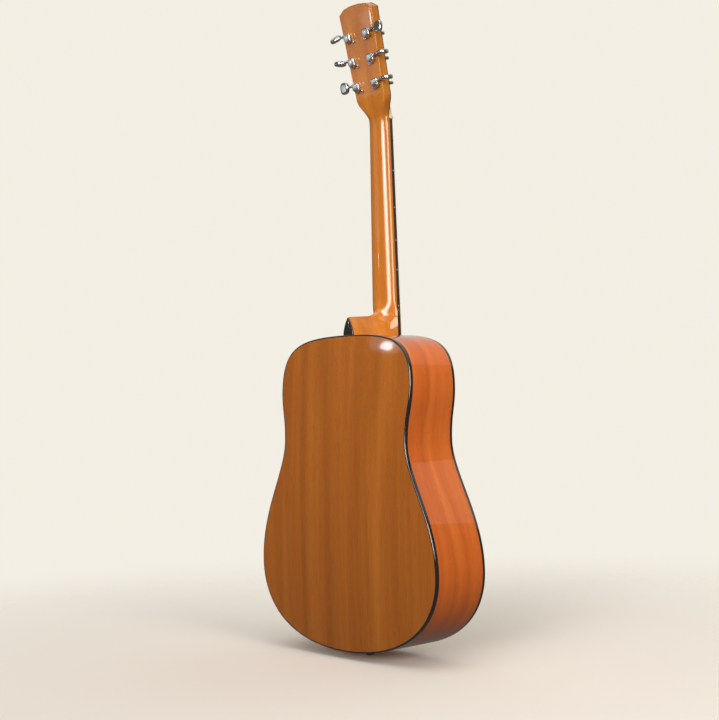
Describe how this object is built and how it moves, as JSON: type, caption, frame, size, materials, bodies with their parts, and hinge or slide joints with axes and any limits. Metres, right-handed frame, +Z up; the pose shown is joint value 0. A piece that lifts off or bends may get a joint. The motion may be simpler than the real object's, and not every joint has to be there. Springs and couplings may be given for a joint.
{
  "type": "acoustic guitar",
  "caption": "Steel-string acoustic guitar with a waisted hollow body, glued neck, pinned bridge and geared tuners at the head.",
  "frame": {"origin": "where the end pin's axis meets the tail of the rim, on the centre line and midway between top and back at the tail", "axes": "+Z up the neck, -Y out of the soundboard, +Y out of the back, bass side at -X"},
  "size_m": [0.41, 0.1268, 1.0653],
  "materials": {
    "spruce": "gloss",
    "back_wood": "high gloss",
    "side_wood": "high gloss",
    "neck_wood": "gloss",
    "black_binding": "gloss",
    "lining_wood": "bare",
    "block_wood": "bare",
    "brace_wood": "bare",
    "plate_wood": "bare",
    "rosette": "gloss",
    "pickguard": "gloss",
    "fretboard_wood": "oiled",
    "bridge_wood": "oiled",
    "bone": "satin",
    "head_veneer": "gloss",
    "pin_plastic": "gloss",
    "chrome": "polished",
    "rod_steel": "satin",
    "plain_string": "bright",
    "wound_string": "wound"
  },
  "bodies": {
    "guitar": {"back_binding": "black_binding", "back_bracing": "brace_wood", "back_lining_bass": "lining_wood", "back_lining_treble": "lining_wood", "back_plate": "back_wood", "bridge": "bridge_wood", "bridge_plate": "plate_wood", "fretboard": "fretboard_wood", "head_veneer": "head_veneer", "heel_cap": "black_binding", "neck": "neck_wood", "neck_block": "block_wood", "nut": "bone", "pickguard": "pickguard", "rosette": "rosette", "saddle": "bone", "side_bass": "side_wood", "side_treble": "side_wood", "soundboard": "spruce", "string_1": "wound_string", "string_2": "wound_string", "string_3": "wound_string", "string_4": "wound_string", "string_5": "plain_string", "string_6": "plain_string", "tail_block": "block_wood", "tone_bar_lower": "brace_wood", "tone_bar_upper": "brace_wood", "top_binding": "black_binding", "top_lining_bass": "lining_wood", "top_lining_treble": "lining_wood", "transverse_brace": "brace_wood", "tuner_housing_1": "chrome", "tuner_housing_2": "chrome", "tuner_housing_3": "chrome", "tuner_housing_4": "chrome", "tuner_housing_5": "chrome", "tuner_housing_6": "chrome", "x_brace_bass": "brace_wood", "x_brace_treble": "brace_wood"},
    "bridge_pin_1": {"bridge_pin_1": "pin_plastic"},
    "bridge_pin_2": {"bridge_pin_2": "pin_plastic"},
    "bridge_pin_3": {"bridge_pin_3": "pin_plastic"},
    "bridge_pin_4": {"bridge_pin_4": "pin_plastic"},
    "bridge_pin_5": {"bridge_pin_5": "pin_plastic"},
    "bridge_pin_6": {"bridge_pin_6": "pin_plastic"},
    "tuner_button_1": {"tuner_button_1": "chrome"},
    "tuner_button_2": {"tuner_button_2": "chrome"},
    "tuner_button_3": {"tuner_button_3": "chrome"},
    "tuner_button_4": {"tuner_button_4": "chrome"},
    "tuner_button_5": {"tuner_button_5": "chrome"},
    "tuner_button_6": {"tuner_button_6": "chrome"},
    "tuner_post_1": {"tuner_post_1": "chrome"},
    "tuner_post_2": {"tuner_post_2": "chrome"},
    "tuner_post_3": {"tuner_post_3": "chrome"},
    "tuner_post_4": {"tuner_post_4": "chrome"},
    "tuner_post_5": {"tuner_post_5": "chrome"},
    "tuner_post_6": {"tuner_post_6": "chrome"},
    "truss_rod": {"truss_rod": "rod_steel"},
    "end_pin": {"end_pin": "pin_plastic"}
  },
  "joints": [
    {"name": "button_spin_1", "type": "hinge", "parent": "guitar", "child": "tuner_button_1", "pos_m": [-0.021, -0.0236, 0.92317], "axis": [1, 0, 0], "continuous": true},
    {"name": "post_spin_1", "type": "hinge", "parent": "guitar", "child": "tuner_post_1", "pos_m": [-0.021, -0.04375, 0.92121], "axis": [0, -0.9781, 0.2079], "continuous": true},
    {"name": "button_spin_2", "type": "hinge", "parent": "guitar", "child": "tuner_button_2", "pos_m": [-0.021, -0.01508, 0.96327], "axis": [1, 0, 0], "continuous": true},
    {"name": "post_spin_2", "type": "hinge", "parent": "guitar", "child": "tuner_post_2", "pos_m": [-0.021, -0.03522, 0.96132], "axis": [0, -0.9781, 0.2079], "continuous": true},
    {"name": "button_spin_3", "type": "hinge", "parent": "guitar", "child": "tuner_button_3", "pos_m": [-0.021, -0.00655, 1.00337], "axis": [1, 0, 0], "continuous": true},
    {"name": "post_spin_3", "type": "hinge", "parent": "guitar", "child": "tuner_post_3", "pos_m": [-0.021, -0.0267, 1.00142], "axis": [0, -0.9781, 0.2079], "continuous": true},
    {"name": "button_spin_4", "type": "hinge", "parent": "guitar", "child": "tuner_button_4", "pos_m": [0.021, -0.00655, 1.00337], "axis": [1, 0, 0], "continuous": true},
    {"name": "post_spin_4", "type": "hinge", "parent": "guitar", "child": "tuner_post_4", "pos_m": [0.021, -0.0267, 1.00142], "axis": [0, -0.9781, 0.2079], "continuous": true},
    {"name": "button_spin_5", "type": "hinge", "parent": "guitar", "child": "tuner_button_5", "pos_m": [0.021, -0.01508, 0.96327], "axis": [1, 0, 0], "continuous": true},
    {"name": "post_spin_5", "type": "hinge", "parent": "guitar", "child": "tuner_post_5", "pos_m": [0.021, -0.03522, 0.96132], "axis": [0, -0.9781, 0.2079], "continuous": true},
    {"name": "button_spin_6", "type": "hinge", "parent": "guitar", "child": "tuner_button_6", "pos_m": [0.021, -0.0236, 0.92317], "axis": [1, 0, 0], "continuous": true},
    {"name": "post_spin_6", "type": "hinge", "parent": "guitar", "child": "tuner_post_6", "pos_m": [0.021, -0.04375, 0.92121], "axis": [0, -0.9781, 0.2079], "continuous": true},
    {"name": "bridge_pin_pull_1", "type": "slide", "parent": "guitar", "child": "bridge_pin_1", "axis": [0, -1, 0], "range_m": [0, 0.025]},
    {"name": "bridge_pin_pull_2", "type": "slide", "parent": "guitar", "child": "bridge_pin_2", "axis": [0, -1, 0], "range_m": [0, 0.025]},
    {"name": "bridge_pin_pull_3", "type": "slide", "parent": "guitar", "child": "bridge_pin_3", "axis": [0, -1, 0], "range_m": [0, 0.025]},
    {"name": "bridge_pin_pull_4", "type": "slide", "parent": "guitar", "child": "bridge_pin_4", "axis": [0, -1, 0], "range_m": [0, 0.025]},
    {"name": "bridge_pin_pull_5", "type": "slide", "parent": "guitar", "child": "bridge_pin_5", "axis": [0, -1, 0], "range_m": [0, 0.025]},
    {"name": "bridge_pin_pull_6", "type": "slide", "parent": "guitar", "child": "bridge_pin_6", "axis": [0, -1, 0], "range_m": [0, 0.025]},
    {"name": "truss_rod_turn", "type": "hinge", "parent": "guitar", "child": "truss_rod", "pos_m": [0, -0.0469, 0.476], "axis": [0, 0, 1], "range_deg": [-180, 180]},
    {"name": "end_pin_pull", "type": "slide", "parent": "guitar", "child": "end_pin", "axis": [0, 0, -1], "range_m": [0, 0.028]}
  ],
  "couplings": [
    {"joint": "post_spin_1", "follows": "button_spin_1", "ratio": 0.071429},
    {"joint": "post_spin_2", "follows": "button_spin_2", "ratio": 0.071429},
    {"joint": "post_spin_3", "follows": "button_spin_3", "ratio": 0.071429},
    {"joint": "post_spin_4", "follows": "button_spin_4", "ratio": -0.071429},
    {"joint": "post_spin_5", "follows": "button_spin_5", "ratio": -0.071429},
    {"joint": "post_spin_6", "follows": "button_spin_6", "ratio": -0.071429}
  ]
}
